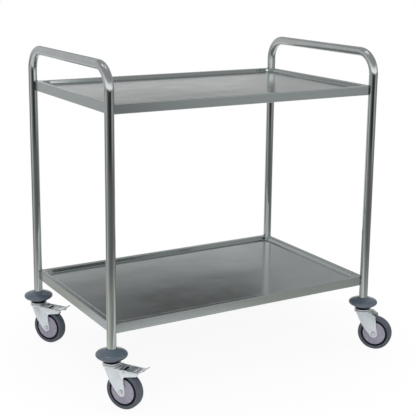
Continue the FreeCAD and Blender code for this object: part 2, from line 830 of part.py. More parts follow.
def wheel_body(name, corner, points):
    """Revolves an outline (radius, place along the axle) round the axle."""
    side_x, side_y, turn, _ = CORNERS[corner]
    body = new_body(name)
    section = new_sketch(body)
    outline(section, points + [points[0]])
    revolve(body, section)
    body.Placement = FreeCAD.Placement(Vector(), FreeCAD.Rotation(Vector(0, 0, 1), turn))
    x_part = f"{math.cos(math.radians(turn))} * sizes.trail"
    y_part = f"{math.sin(math.radians(turn))} * sizes.trail"
    body.setExpression("Placement.Base.x", f"{side_x} * sizes.shelf_length / 2 + {x_part}")
    body.setExpression("Placement.Base.y", f"{side_y} * sizes.shelf_depth / 2 + {y_part}")
    body.setExpression("Placement.Base.z", "sizes.wheel_diameter / 2")
    return body


def wheel(corner):
    """Core, tyre, bearing bush and the two dished thread guards."""
    half = S.tyre_width / 2
    rim_inner = tyre_seat - S.rim_depth
    hub_half = S.fork_gap / 2 - S.hub_gap
    web_half = S.web_width / 2
    bore = S.bearing_radius + S.seat_gap
    guard_radius = tyre_seat - S.rim_lip
    guard_recess = guard_radius + S.seat_gap
    guard_seat = half - S.guard_inset
    core = wheel_body("wheel_core_" + corner, corner, [
        (bore, -hub_half),
        (S.hub_radius, -hub_half),
        (S.hub_radius, -web_half),
        (rim_inner, -web_half),
        (rim_inner, -guard_seat),
        (guard_recess, -guard_seat),
        (guard_recess, -half),
        (tyre_seat, -half),
        (tyre_seat, half),
        (guard_recess, half),
        (guard_recess, guard_seat),
        (rim_inner, guard_seat),
        (rim_inner, web_half),
        (S.hub_radius, web_half),
        (S.hub_radius, hub_half),
        (bore, hub_half),
    ])
    node(core, "wheel_core_" + corner)
    shoulder = S.tyre_shoulder
    bow = shoulder * (1 - math.sqrt(0.5))
    inner = tyre_seat + S.seat_gap
    tyre = wheel_body("tyre_" + corner, corner, [
        (inner, -half),
        (wheel_radius - shoulder, -half),
        ((wheel_radius - bow, -half + bow), (wheel_radius, -half + shoulder)),
        (wheel_radius, half - shoulder),
        ((wheel_radius - bow, half - bow), (wheel_radius - shoulder, half)),
        (inner, half),
    ])
    node(tyre, "tyre_" + corner)
    bush = wheel_body("bearing_bush_" + corner, corner, [
        (S.axle_sleeve_radius + S.running_gap, -hub_half),
        (S.bearing_radius, -hub_half),
        (S.bearing_radius, hub_half),
        (S.axle_sleeve_radius + S.running_gap, hub_half),
    ])
    node(bush, "bearing_bush_" + corner)
    guards = []
    for side in (-1, 1):
        seat = guard_seat + S.seat_gap
        face = seat + S.guard_sheet
        eye = S.hub_radius + S.seat_gap
        points = [
            (eye, seat + S.guard_dish),
            (rim_inner, seat),
            (guard_radius, seat),
            (guard_radius, face),
            (rim_inner, face),
            (eye, face + S.guard_dish),
        ]
        name = f"guard_{'near' if side < 0 else 'far'}_{corner}"
        guards.append(wheel_body(name, corner, [(reach, side * across) for reach, across in points]))
    node(compound("guards_" + corner, guards), "thread_guards_" + corner)


def brake(corner):
    """The pedal with its ears, its pin through the fork's arms, and the shoe below it."""
    side_x, side_y, turn, _ = CORNERS[corner]
    pivot = brake_pivot
    top = crown_top - S.pedal_drop
    knee = crown_top + S.pedal_knee_rise
    lip = crown_top + S.pedal_lip_rise
    wall = S.pedal_sheet
    body = new_body("brake_pedal_" + corner)
    plate = new_sketch(body, "XZ_Plane")
    draw(plate, [
        (S.pedal_start, top - wall),
        (S.pedal_bend_reach + wall / 2, top - wall),
        (S.pedal_knee_reach + wall / 2, knee - wall / 2),
        (S.pedal_lip_reach + wall / 2, lip - wall / 2),
        (S.pedal_lip_reach - wall / 2, lip + wall / 2),
        (S.pedal_knee_reach - wall / 2, knee + wall / 2),
        (S.pedal_bend_reach, top),
        (S.pedal_start, top),
    ])
    pad(body, plate, "2 * sizes.pedal_half_width", middle=True)
    ears = new_sketch(body, "XZ_Plane")
    ear = S.pedal_ear_half_length
    ear_low = pivot[1] - S.pedal_ear_drop
    draw(ears, [
        (pivot[0] - ear, top - wall / 2),
        (pivot[0] - ear, ear_low + S.pedal_ear_drop),
        ((pivot[0], ear_low), (pivot[0] + ear, ear_low + S.pedal_ear_drop)),
        (pivot[0] + ear, top - wall / 2),
    ])
    pad(body, ears, "2 * sizes.pedal_half_width", middle=True)
    between = new_sketch(body, "XZ_Plane")
    draw(between, [
        (pivot[0] - 2 * ear, ear_low - wall),
        (pivot[0] + 2 * ear, ear_low - wall),
        (pivot[0] + 2 * ear, top - wall),
        (pivot[0] - 2 * ear, top - wall),
    ])
    pocket(body, between, "2 * (sizes.pedal_half_width - sizes.pedal_sheet)", middle=True)
    hole = new_sketch(body, "XZ_Plane")
    circle(hole, S.brake_pin_radius + S.running_gap, "sizes.brake_pin_radius + sizes.running_gap", pivot)
    pocket(body, hole, "2 * sizes.fork_gap", middle=True)
    place(body, side_x, side_y, "0", turn)
    node(body, "brake_pedal_" + corner)
    outer = "(sizes.fork_gap / 2 + sizes.fork_plate)"
    pin = cylinder("brake_pin_rod_" + corner, "sizes.brake_pin_radius", f"2 * {outer}", f"-{outer}")
    near = cylinder(
        "brake_pin_near_" + corner, "sizes.brake_pin_head_radius", "sizes.brake_pin_head_height", outer
    )
    far = cylinder(
        "brake_pin_far_" + corner, "sizes.brake_pin_head_radius", "sizes.brake_pin_head_height",
        f"-{outer} - sizes.brake_pin_head_height",
    )
    made = fuse("brake_pin_" + corner, [pin, near, far])
    node(lay_across(made, corner, "sizes.brake_pivot_reach", BRAKE_PIVOT), "brake_pin_" + corner)
    # The shoe's face lies on the tyre's round once the pedal is down
    throw = math.radians(S.brake_throw)
    reach = S.trail - pivot[0]
    rise = wheel_radius - pivot[1]
    hub_x = pivot[0] + reach * math.cos(throw) - rise * math.sin(throw)
    hub_z = pivot[1] + reach * math.sin(throw) + rise * math.cos(throw)
    face = wheel_radius + S.shoe_end_gap

    def on_face(along):
        return (along, hub_z + math.sqrt(face ** 2 - (along - hub_x) ** 2))

    shoe = new_body("brake_shoe_" + corner)
    block = new_sketch(shoe, "XZ_Plane")
    middle = (S.shoe_start + S.shoe_end) / 2
    draw(block, [
        (S.shoe_start, top - wall),
        on_face(S.shoe_start),
        (on_face(middle), on_face(S.shoe_end)),
        (S.shoe_end, top - wall),
    ])
    pad(shoe, block, "2 * sizes.shoe_half_width", middle=True)
    place(shoe, side_x, side_y, "0", turn)
    node(shoe, "brake_shoe_" + corner)


# Casters with their bumpers
for corner_name, (x_sign, y_sign, caster_turn, has_brake) in CORNERS.items():
    bumper(corner_name, x_sign, y_sign)
    caster_expander(corner_name, x_sign, y_sign)
    king_bolt(corner_name, x_sign, y_sign)
    caster_head(corner_name, x_sign, y_sign)
    ball_ring(corner_name, x_sign, y_sign, caster_turn)
    fork(corner_name, x_sign, y_sign, caster_turn, has_brake)
    axle(corner_name)
    wheel(corner_name)
    if has_brake:
        brake(corner_name)

doc.recompute()
for thing in doc.Objects:
    if "Invalid" in thing.State or "Error" in thing.State:
        raise RuntimeError(f"{thing.Name} failed: {thing.State}")
for thing in NODES:
    if thing.Shape.isNull() or not thing.Shape.isValid():
        raise RuntimeError(f"{thing.Label} has no valid shape")
os.makedirs("parts", exist_ok=True)
for thing in NODES:
    thing.Shape.exportStep(f"parts/{thing.Label}.step")
print(len(NODES), "sub-parts written")
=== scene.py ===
"""A two-shelf stainless steel serving trolley on four swivel casters."""
import math

import bmesh
import bpy
from mathutils import Matrix, Vector


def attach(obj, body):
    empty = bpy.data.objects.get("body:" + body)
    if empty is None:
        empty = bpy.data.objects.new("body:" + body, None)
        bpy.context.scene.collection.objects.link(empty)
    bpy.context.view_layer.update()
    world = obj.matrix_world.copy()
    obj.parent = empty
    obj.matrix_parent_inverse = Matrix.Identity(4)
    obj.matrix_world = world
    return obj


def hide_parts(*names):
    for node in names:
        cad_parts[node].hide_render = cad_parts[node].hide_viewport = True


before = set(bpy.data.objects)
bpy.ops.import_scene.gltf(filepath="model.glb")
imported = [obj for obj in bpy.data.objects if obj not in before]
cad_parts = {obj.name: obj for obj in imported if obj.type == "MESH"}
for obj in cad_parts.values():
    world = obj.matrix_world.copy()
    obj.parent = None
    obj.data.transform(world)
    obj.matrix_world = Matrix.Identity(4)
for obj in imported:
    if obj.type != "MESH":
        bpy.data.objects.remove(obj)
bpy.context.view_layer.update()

# Camera
# It looks down a little on the front left corner, a long lens from three metres off.
CAMERA_PLACE = (-1.4313, -2.4546, 1.1502)
CAMERA_YAW = 0.5347
CAMERA_PITCH = 0.2127
CAMERA_ROLL = 0.0114
CAMERA_LENS = 85.76
CAMERA_SHIFT = -0.0913

camera_data = bpy.data.cameras.new("camera")
camera_data.sensor_width = 36
camera_data.lens = CAMERA_LENS
camera_data.shift_y = CAMERA_SHIFT
camera = bpy.data.objects.new("camera", camera_data)
camera.matrix_world = (
    Matrix.Translation(CAMERA_PLACE)
    @ Matrix.Rotation(-CAMERA_YAW, 4, "Z")
    @ Matrix.Rotation(math.pi / 2 - CAMERA_PITCH, 4, "X")
    @ Matrix.Rotation(CAMERA_ROLL, 4, "Z")
)
bpy.context.scene.collection.objects.link(camera)
bpy.context.scene.camera = camera
bpy.context.scene.view_settings.view_transform = "Standard"


# Studio
# A round pale floor in a white room. Outside the picture stands a round screen with a ceiling,
# which only mirroring surfaces see: it holds the dark and light parts that polished steel shows.
FLOOR_RADIUS = 0.76
FADE_START = 0.45
FADE_END = 0.97 * FLOOR_RADIUS
WHITE_IN_MIDDLE = 0.92
MIRRORED_GLOW = 0.3
ROUND_STEPS = 96
SCREEN_RADIUS = 3.6
SCREEN_FOOT = -1.2
SCREEN_TOP = 3.2
# Brightness at heights from the foot up, each by direction: straight left is nought, the front a
# quarter, the right a half and the back three quarters
FOOT_SCREEN = [
    (0.0, 0.84), (0.06, 0.76), (0.13, 0.52), (0.2, 0.4), (0.3, 0.39), (0.36, 0.64), (0.41, 0.42),
    (0.54, 0.36), (0.58, 1.0), (0.77, 1.0), (0.8, 0.64), (0.87, 0.64), (0.925, 0.46), (0.96, 0.98),
    (1.0, 0.84),
]
WAIST_SCREEN = [
    (0.0, 0.66), (0.03, 0.46), (0.08, 0.3), (0.15, 0.2), (0.27, 0.17), (0.35, 0.24), (0.41, 0.24),
    (0.54, 0.44), (0.58, 1.0), (0.77, 1.0), (0.81, 0.78), (0.86, 0.68), (0.895, 0.18), (0.93, 0.14),
    (0.96, 0.92), (1.0, 0.66),
]
LOW_SCREEN = [
    (0.0, 0.66), (0.03, 0.46), (0.08, 0.26), (0.13, 0.06), (0.27, 0.035), (0.32, 0.55), (0.36, 0.6),
    (0.42, 0.27), (0.54, 0.55), (0.58, 1.0), (0.77, 1.0), (0.8, 0.72), (0.86, 0.62), (0.895, 0.22),
    (0.925, 0.22), (0.96, 1.1), (1.0, 0.66),
]
HIGH_SCREEN = [
    (0.0, 0.6), (0.05, 0.3), (0.1, 0.14), (0.25, 0.1), (0.33, 0.5), (0.42, 0.4), (0.56, 0.3),
    (0.72, 0.55), (0.78, 0.72), (0.85, 0.72), (0.92, 0.6), (1.0, 0.6),
]
BRIGHT_BAND = [
    (0.0, 1.3), (0.05, 1.6), (0.32, 1.6), (0.42, 1.1), (0.5, 0.62), (0.64, 0.52), (0.655, 0.8),
    (0.7, 0.84), (0.76, 0.74), (0.88, 0.73), (0.95, 1.0), (1.0, 1.3),
]
UPPER_SCREEN = [
    (0.0, 1.2), (0.05, 1.5), (0.32, 1.5), (0.4, 0.9), (0.5, 0.45), (0.64, 0.45), (0.652, 0.06),
    (0.68, 0.1), (0.71, 0.3), (0.76, 0.7), (0.86, 0.73), (0.93, 0.8), (1.0, 1.2),
]
TOP_SCREEN = [(0.0, 0.45), (0.42, 0.35), (0.62, 0.74), (0.86, 0.74), (1.0, 0.45)]
# Each band above the foot's, with the heights between which it takes over from the one below
BANDS = [
    (-0.95, -0.6, WAIST_SCREEN), (-0.25, 0.1, LOW_SCREEN), (0.35, 0.6, HIGH_SCREEN),
    (0.86, 1.02, BRIGHT_BAND), (1.31, 1.43, UPPER_SCREEN), (2.2, 2.5, TOP_SCREEN),
]
FOOT_WARMTH = 0.09
# A ramp holds no colour over one, so it holds each brightness as a share of this
BRIGHTEST = 2
CEILING = 0.45
LIT_SPOTS = [(-0.87, 0.41), (0.40, 0.02)]
SPOT_MIDDLE = 0.1
SPOT_EDGE = 0.42
SPOT_GLOW = 3.6
LAMP_AIM = (0, 0, 0.5)


def wire(tree, kind, inputs=None, **settings):
    """Adds a shader node, sets it and joins its inputs to values or to other nodes' outputs."""
    made = tree.nodes.new("ShaderNode" + kind)
    for key, value in settings.items():
        setattr(made, key, value)
    for key, value in (inputs or {}).items():
        if isinstance(value, bpy.types.NodeSocket):
            tree.links.new(value, made.inputs[key])
        else:
            made.inputs[key].default_value = value
    return made


def seen_directly(tree):
    """One for the rays that show the surroundings: the camera's, mirrored ones and those through
    glass."""
    path = wire(tree, "LightPath")
    first = wire(tree, "Math", {0: path.outputs["Is Camera Ray"], 1: path.outputs["Is Glossy Ray"]},
                 operation="MAXIMUM")
    return wire(tree, "Math", {0: first.outputs[0], 1: path.outputs["Is Transmission Ray"]},
                operation="MAXIMUM").outputs[0]


def bare_material(name):
    """A material with nothing in it but its output."""
    material = bpy.data.materials.new(name)
    material.use_nodes = True
    tree = material.node_tree
    tree.nodes.clear()
    return material, tree, wire(tree, "OutputMaterial")


def stage_piece(shape, name, material):
    """Makes a drawn shape a piece of the studio."""
    mesh = bpy.data.meshes.new(name)
    shape.to_mesh(mesh)
    shape.free()
    mesh.materials.append(material)
    made = bpy.data.objects.new(name, mesh)
    bpy.context.scene.collection.objects.link(made)
    return made


def blended(tree, share, first, second):
    """Mixes two colours or values by a share."""
    return wire(tree, "MixRGB", {"Fac": share, "Color1": first, "Color2": second}).outputs[0]


def step_up(tree, value, start, end):
    """Nought up to start, one from end on, and a soft step between."""
    return wire(tree, "MapRange", {"Value": value, "From Min": start, "From Max": end},
                interpolation_type="SMOOTHSTEP").outputs[0]


def ramp_round(tree, direction, stops, warmth=0):
    """The brightness in each direction, with the blue held back by a share for warmth."""
    ramp = wire(tree, "ValToRGB", {0: direction})
    elements = ramp.color_ramp.elements
    while len(elements) < len(stops):
        elements.new(0.5)
    for element, (spot, brightness) in zip(elements, stops):
        level = brightness / BRIGHTEST
        element.position = spot
        element.color = (level, level, level * (1 - warmth), 1)
    return ramp.outputs[0]


world = bpy.data.worlds.new("white_room")
bpy.context.scene.world = world
world.use_nodes = True
world.node_tree.nodes.clear()
plain_light = wire(world.node_tree, "Background", {"Color": (0.95, 0.97, 1, 1), "Strength": 0.62})
white_wall = wire(world.node_tree, "Background", {"Color": (1, 1, 1, 1), "Strength": 1})
room = wire(world.node_tree, "MixShader", {0: seen_directly(world.node_tree),
                                           1: plain_light.outputs[0], 2: white_wall.outputs[0]})
world.node_tree.links.new(
    room.outputs[0], wire(world.node_tree, "OutputWorld").inputs["Surface"])

floor_material, tree, output = bare_material("pale_floor")
paint = wire(tree, "BsdfDiffuse", {"Color": (0.85, 0.85, 0.85, 1)})
glow = wire(tree, "Emission", {"Color": (1, 1, 1, 1), "Strength": 1})
reach = wire(tree, "VectorMath", {0: wire(tree, "TexCoord").outputs["Object"]}, operation="LENGTH")
whiter = wire(tree, "MapRange", {"Value": reach.outputs["Value"], "From Min": FADE_START,
                                 "From Max": FADE_END, "To Min": WHITE_IN_MIDDLE, "To Max": 1.0},
              interpolation_type="SMOOTHSTEP")
# The camera sees a white that fades into the room, and mirrors see more of the floor's own paint
mirrored = wire(tree, "Math", {0: wire(tree, "LightPath").outputs["Is Glossy Ray"],
                               1: 1 - MIRRORED_GLOW}, operation="MULTIPLY")
seen = wire(tree, "Math", {0: seen_directly(tree), 1: mirrored.outputs[0]}, operation="SUBTRACT")
share = wire(tree, "Math", {0: seen.outputs[0], 1: whiter.outputs[0]}, operation="MULTIPLY")
floor_mix = wire(tree, "MixShader", {0: share.outputs[0], 1: paint.outputs[0], 2: glow.outputs[0]})
tree.links.new(floor_mix.outputs[0], output.inputs["Surface"])
shape = bmesh.new()
bmesh.ops.create_circle(shape, cap_ends=True, segments=ROUND_STEPS, radius=FLOOR_RADIUS)
stage_piece(shape, "floor", floor_material)

screen_material, tree, output = bare_material("studio_screen")
place = wire(tree, "TexCoord").outputs["Object"]
turn = wire(tree, "TexGradient", {"Vector": place}, gradient_type="RADIAL").outputs["Fac"]
height = wire(tree, "SeparateXYZ", {0: place}).outputs["Z"]
tone = ramp_round(tree, turn, FOOT_SCREEN, FOOT_WARMTH)
for start, end, stops in BANDS:
    tone = blended(tree, step_up(tree, height, start, end), tone, ramp_round(tree, turn, stops))
light = wire(tree, "Emission", {"Color": tone, "Strength": BRIGHTEST})
tree.links.new(light.outputs[0], output.inputs["Surface"])
shape = bmesh.new()
bmesh.ops.create_cone(shape, segments=ROUND_STEPS, radius1=SCREEN_RADIUS, radius2=SCREEN_RADIUS,
                      depth=SCREEN_TOP - SCREEN_FOOT)
bmesh.ops.translate(shape, verts=shape.verts, vec=(0, 0, (SCREEN_TOP + SCREEN_FOOT) / 2))
screen = stage_piece(shape, "studio_screen", screen_material)

ceiling_material, tree, output = bare_material("studio_ceiling")
place = wire(tree, "TexCoord").outputs["Object"]
tone = CEILING
for x, y in LIT_SPOTS:
    away = wire(tree, "VectorMath", {0: place, 1: (x, y, SCREEN_TOP)}, operation="DISTANCE")
    spot = wire(tree, "MapRange", {"Value": away.outputs["Value"], "From Min": SPOT_MIDDLE,
                                   "From Max": SPOT_EDGE, "To Min": SPOT_GLOW, "To Max": 0},
                interpolation_type="SMOOTHSTEP")
    tone = wire(tree, "Math", {0: spot.outputs[0], 1: tone}, operation="ADD").outputs[0]
light = wire(tree, "Emission", {"Color": (1, 1, 1, 1), "Strength": tone})
tree.links.new(light.outputs[0], output.inputs["Surface"])
shape = bmesh.new()
bmesh.ops.create_circle(shape, cap_ends=True, segments=ROUND_STEPS, radius=SCREEN_RADIUS)
bmesh.ops.translate(shape, verts=shape.verts, vec=(0, 0, SCREEN_TOP))
ceiling = stage_piece(shape, "studio_ceiling", ceiling_material)
for surround in (screen, ceiling):
    surround.visible_camera = False
    surround.visible_diffuse = False
    surround.visible_shadow = False
    surround.visible_transmission = False
    surround.visible_volume_scatter = False


def soft_lamp(name, place, size, watts):
    """A square soft box aimed at the middle of the trolley, which mirrors don't show."""
    data = bpy.data.lights.new(name, "AREA")
    data.size = size
    data.energy = watts
    lamp = bpy.data.objects.new(name, data)
    lamp.location = place
    lamp.visible_glossy = False
    lamp.rotation_euler = (Vector(LAMP_AIM) - Vector(place)).to_track_quat("-Z", "Y").to_euler()
    bpy.context.scene.collection.objects.link(lamp)


soft_lamp("left_lamp", (-0.84, 0.30, 3.0), 1.0, 14)
soft_lamp("right_lamp", (0.5, -0.34, 3.0), 1.0, 14)
soft_lamp("front_lamp", (-1.9, -2.7, 2.0), 1.6, 56)


# Tube frames
# Two bent tubes of stainless steel, each a pair of posts with the push handle between them. The
# tube is drawn, bent cold and polished along its length with a fine belt.
TUBE_COLOUR = (0.492, 0.518, 0.522, 1)
TUBE_ROUGHNESS = 0.12
HANDLE_START = 0.825
HANDLE_TOP = 0.875
BEND_ROUGHNESS = 0.17


def finish(name, colour, metallic, roughness):
    """A new material with its shader, and the place on the object that its patterns follow."""
    material = bpy.data.materials.new(name)
    material.use_nodes = True
    tree = material.node_tree
    shader = tree.nodes["Principled BSDF"]
    shader.inputs["Base Color"].default_value = colour
    shader.inputs["Metallic"].default_value = metallic
    shader.inputs["Roughness"].default_value = roughness
    return material, tree, shader, wire(tree, "TexCoord").outputs["Object"]


def noise(tree, place, scale, detail=3.0, rough=0.5):
    """Cloudy noise with its own scale along each axis, in cycles to the metre."""
    stretched = wire(tree, "Mapping", {"Vector": place, "Scale": scale})
    return wire(tree, "TexNoise", {"Vector": stretched.outputs[0], "Scale": 1.0, "Detail": detail,
                                   "Roughness": rough}).outputs["Fac"]


def ranged(tree, value, low, high, start=0.3, end=0.7):
    """Spreads a value between start and end over low to high."""
    return wire(tree, "MapRange", {"Value": value, "From Min": start, "From Max": end,
                                   "To Min": low, "To Max": high}).outputs[0]


def tinted(colour, factor):
    """The same colour, darker or lighter."""
    return tuple(part * factor for part in colour[:3]) + (1,)


def relief(tree, shader, height, depth):
    """Raises the surface by a height pattern of a depth in metres."""
    bump = wire(tree, "Bump", {"Height": height, "Distance": depth, "Strength": 1.0})
    tree.links.new(bump.outputs[0], shader.inputs["Normal"])


polished_tube, tree, shader, place = finish("polished_tube", TUBE_COLOUR, 1, TUBE_ROUGHNESS)
up_lines = noise(tree, place, (900, 900, 9), 4)
cross_lines = noise(tree, place, (900, 9, 900), 4)
level = wire(tree, "SeparateXYZ", {0: place}).outputs["Z"]
on_handle = ranged(tree, level, 0, 1, HANDLE_START, HANDLE_TOP)
lines = blended(tree, on_handle, up_lines, cross_lines)
clouds = noise(tree, place, (14, 14, 5), 3)
rubbed = noise(tree, place, (60, 60, 22), 4, 0.65)
cloudy = blended(tree, ranged(tree, clouds, 0, 1), tinted(TUBE_COLOUR, 0.9),
                 tinted(TUBE_COLOUR, 1.06))
tree.links.new(blended(tree, ranged(tree, lines, 0, 0.3), cloudy, tinted(TUBE_COLOUR, 0.72)),
               shader.inputs["Base Color"])
dull = wire(tree, "Math", {0: ranged(tree, lines, 0, 0.02),
                           1: ranged(tree, rubbed, 0.06, 0.085, 0.4)}, operation="ADD")
# The bends are polished by hand, less brightly than the straight posts
by_hand = ranged(tree, level, 0, BEND_ROUGHNESS, HANDLE_START, HANDLE_START + 0.02)
duller = wire(tree, "Math", {0: dull.outputs[0], 1: by_hand}, operation="ADD")
tree.links.new(duller.outputs[0], shader.inputs["Roughness"])
relief(tree, shader, lines, 0.000001)


def dress(node, material):
    """Gives a node of the frame its finish."""
    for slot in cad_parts[node].material_slots:
        slot.material = material


for side in ("left", "right"):
    dress(side + "_tube_frame", polished_tube)


# Shelves
# Each is one pressed and folded sheet of satin stainless steel: flat rim, sloped wall down to a
# sunk floor, and a skirt folded down all round with a hem turned in. Its corners nest on the posts.
SHELF_LENGTH = 830
SHELF_WIDTH = 520
SHELF_RIMS = {"upper": 792, "lower": 220}
NOTCH_RADIUS = 13
SKIRT_HEIGHT = 26.4
HEM_WIDTH = 10
RIM_WIDTH = 16
SLOPE_WIDTH = 8
SUNK_DEPTH = 9
SUNK_CORNER = 30
SHEET = 1
FOLD_RADIUS = 1.9
PRESS_RADIUS = 2.6
CORNER_STEPS = 12
# The outer corners curve inwards round the posts
CONCAVE = 0.086
# Farther out across the shelf than this, in metres, is the skirt
SKIRT_FACE = (SHELF_WIDTH / 2 - 1.5) / 1000
MERGE = 0.01
SHELF_COLOUR = (0.394, 0.428, 0.428, 1)


def round_cornered(shape, length, width, height, corner, profile=0.5):
    """A flat face with round corners at a height, and the edges of its outline."""
    made = bmesh.ops.create_grid(shape, x_segments=1, y_segments=1, size=0.5)["verts"]
    bmesh.ops.scale(shape, verts=made, vec=(length, width, 1))
    bmesh.ops.translate(shape, verts=made, vec=(0, 0, height))
    rounded = bmesh.ops.bevel(shape, geom=made, offset=corner, segments=CORNER_STEPS,
                              profile=profile, affect="VERTICES", material=-1)
    face = next(face for face in shape.faces if rounded["verts"][0] in face.verts)
    return face, list(face.edges)


def verts_in(made):
    """The vertices among what an operator made."""
    return [part for part in made if isinstance(part, bmesh.types.BMVert)]


def fold_out(shape, edges, step):
    """Draws sheet out from its edges and returns its new outer edges."""
    made = bmesh.ops.extrude_edge_only(shape, edges=edges)["geom"]
    bmesh.ops.translate(shape, verts=verts_in(made), vec=step)
    outer = set(verts_in(made))
    faces = [part for part in made if isinstance(part, bmesh.types.BMFace)]
    return [edge for face in faces for edge in face.edges if set(edge.verts) <= outer]


def finished(shape, name, material, body, slot, *nodes, place, sharp=40):
    """Makes a drawn shape a piece of the trolley, riding on its body in place of its nodes."""
    shape.transform(place)
    mesh = bpy.data.meshes.new(name)
    shape.to_mesh(mesh)
    shape.free()
    mesh.materials.append(material)
    mesh.shade_smooth()
    mesh.set_sharp_from_angle(angle=math.radians(sharp))
    piece = bpy.data.objects.new(name, mesh)
    bpy.context.scene.collection.objects.link(piece)
    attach(piece, body)
    if nodes:
        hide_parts(*nodes)
    return piece


def even_normals(piece):
    """Keeps flat faces looking flat beside their rounded edges."""
    weighted = piece.modifiers.new("even_normals", "WEIGHTED_NORMAL")
    weighted.keep_sharp = True
    weighted.weight = 100


def pressed_shelf():
    """The shelf's sheet with its rim's top at height nought, in millimetres."""
    shape = bmesh.new()
    outer, outer_edges = round_cornered(shape, SHELF_LENGTH, SHELF_WIDTH, 0, NOTCH_RADIUS, CONCAVE)
    bmesh.ops.delete(shape, geom=[outer], context="FACES_ONLY")
    inset = 2 * RIM_WIDTH
    rim, rim_edges = round_cornered(
        shape, SHELF_LENGTH - inset, SHELF_WIDTH - inset, 0, SUNK_CORNER)
    bmesh.ops.delete(shape, geom=[rim], context="FACES_ONLY")
    inset = 2 * (RIM_WIDTH + SLOPE_WIDTH)
    sunk_edges = round_cornered(
        shape, SHELF_LENGTH - inset, SHELF_WIDTH - inset, -SUNK_DEPTH, SUNK_CORNER - SLOPE_WIDTH)[1]
    bmesh.ops.bridge_loops(shape, edges=outer_edges + rim_edges)
    bmesh.ops.bridge_loops(shape, edges=rim_edges + sunk_edges)
    straight = [edge for edge in outer_edges if edge.calc_length() > SHELF_WIDTH / 2]
    skirt_ends = fold_out(shape, straight, (0, 0, -SKIRT_HEIGHT))
    for edge in skirt_ends:
        middle = (edge.verts[0].co + edge.verts[1].co) / 2
        across = Vector((middle.x, middle.y, 0)).normalized()
        fold_out(shape, [edge], -across * HEM_WIDTH)
    bmesh.ops.recalc_face_normals(shape, faces=shape.faces)
    if max(shape.faces, key=lambda face: face.calc_area()).normal.z < 0:
        bmesh.ops.reverse_faces(shape, faces=shape.faces)
    # The skirts and hems turn by a right angle, the sunk floor's wall by about half of one
    folds = [edge for edge in shape.edges if edge.is_manifold
             and edge.calc_face_angle() > math.radians(80)]
    bmesh.ops.bevel(shape, geom=folds, offset=FOLD_RADIUS, segments=4, profile=0.5,
                    affect="EDGES", material=-1)
    presses = [edge for edge in shape.edges if edge.is_manifold
               and math.radians(30) < edge.calc_face_angle() < math.radians(70)
               and min(v.co.z for v in edge.verts) > -SUNK_DEPTH - 0.5]
    bmesh.ops.bevel(shape, geom=presses, offset=PRESS_RADIUS, segments=3, profile=0.5,
                    affect="EDGES", material=-1)
    bmesh.ops.remove_doubles(shape, verts=shape.verts, dist=MERGE)
    return shape


satin_sheet, tree, shader, place = finish("satin_sheet", SHELF_COLOUR, 1, 0.33)
# The brushed grain runs along the sheet and stays with it over the folds to the long skirts
spot = wire(tree, "SeparateXYZ", {0: place})
sideways = wire(tree, "Math", {0: spot.outputs["Y"]}, operation="ABSOLUTE")
on_skirt = wire(tree, "Math", {0: sideways.outputs[0], 1: SKIRT_FACE}, operation="GREATER_THAN")
down = wire(tree, "Math", {0: spot.outputs["Z"], 1: on_skirt.outputs[0]}, operation="MULTIPLY")
across = wire(tree, "Math", {0: spot.outputs["Y"], 1: down.outputs[0]}, operation="ADD")
unfolded = wire(tree, "CombineXYZ", {0: spot.outputs["X"], 1: across.outputs[0]}).outputs[0]
grain = noise(tree, unfolded, (7, 1100, 1), 5, 0.6)
streaks = noise(tree, unfolded, (2.2, 160, 1), 4, 0.55)
clouds = noise(tree, place, (6, 9, 9), 3)
wiped = noise(tree, place, (22, 30, 30), 4, 0.6)
shade = blended(tree, ranged(tree, streaks, 0, 1), tinted(SHELF_COLOUR, 0.96),
                tinted(SHELF_COLOUR, 1.03))
tree.links.new(blended(tree, ranged(tree, clouds, 0, 0.5), shade, tinted(SHELF_COLOUR, 0.95)),
               shader.inputs["Base Color"])
dull = wire(tree, "Math", {0: ranged(tree, grain, 0, 0.02), 1: ranged(tree, wiped, 0.135, 0.165)},
            operation="ADD")
tree.links.new(dull.outputs[0], shader.inputs["Roughness"])
buckle = noise(tree, place, (5, 6, 6), 1)
height = wire(tree, "Math", {0: ranged(tree, grain, 0, 0.0000008),
                             1: ranged(tree, buckle, 0, 0.0003)}, operation="ADD")
relief(tree, shader, height.outputs[0], 1.0)

for name, rim_height in SHELF_RIMS.items():
    in_place = Matrix.Scale(0.001, 4) @ Matrix.Translation((0, 0, rim_height))
    sheet = finished(pressed_shelf(), name + "_tray", satin_sheet, "frame", "shelf_steel",
                     name + "_shelf", place=in_place)
    wall = sheet.modifiers.new("sheet", "SOLIDIFY")
    wall.thickness = SHEET / 1000
    wall.offset = -1
    wall.use_even_offset = True
    even_normals(sheet)


# Stiffeners and fixings
# Folded channels are spot-welded below each shelf. At each corner a steel saddle is welded in,
# and a bolt with its washer goes through it into a rivet nut in the post.
STEEL_COLOUR = (0.68, 0.69, 0.70, 1)
DULL_STEEL = (0.60, 0.61, 0.62, 1)
CLEAN_STEEL = (0.74, 0.75, 0.77, 1)

for name in SHELF_RIMS:
    dress(name + "_shelf_stiffeners", satin_sheet)
dress("shelf_corner_saddles", satin_sheet)


def mottle(tree, shader, pattern, darker, lighter):
    """Lets the colour drift between two shades with a pattern."""
    tree.links.new(blended(tree, ranged(tree, pattern, 0, 1), darker, lighter),
                   shader.inputs["Base Color"])


def roughen(tree, shader, pattern, smoother, rougher):
    """Lets the roughness drift between two values with a pattern."""
    tree.links.new(ranged(tree, pattern, smoother, rougher), shader.inputs["Roughness"])


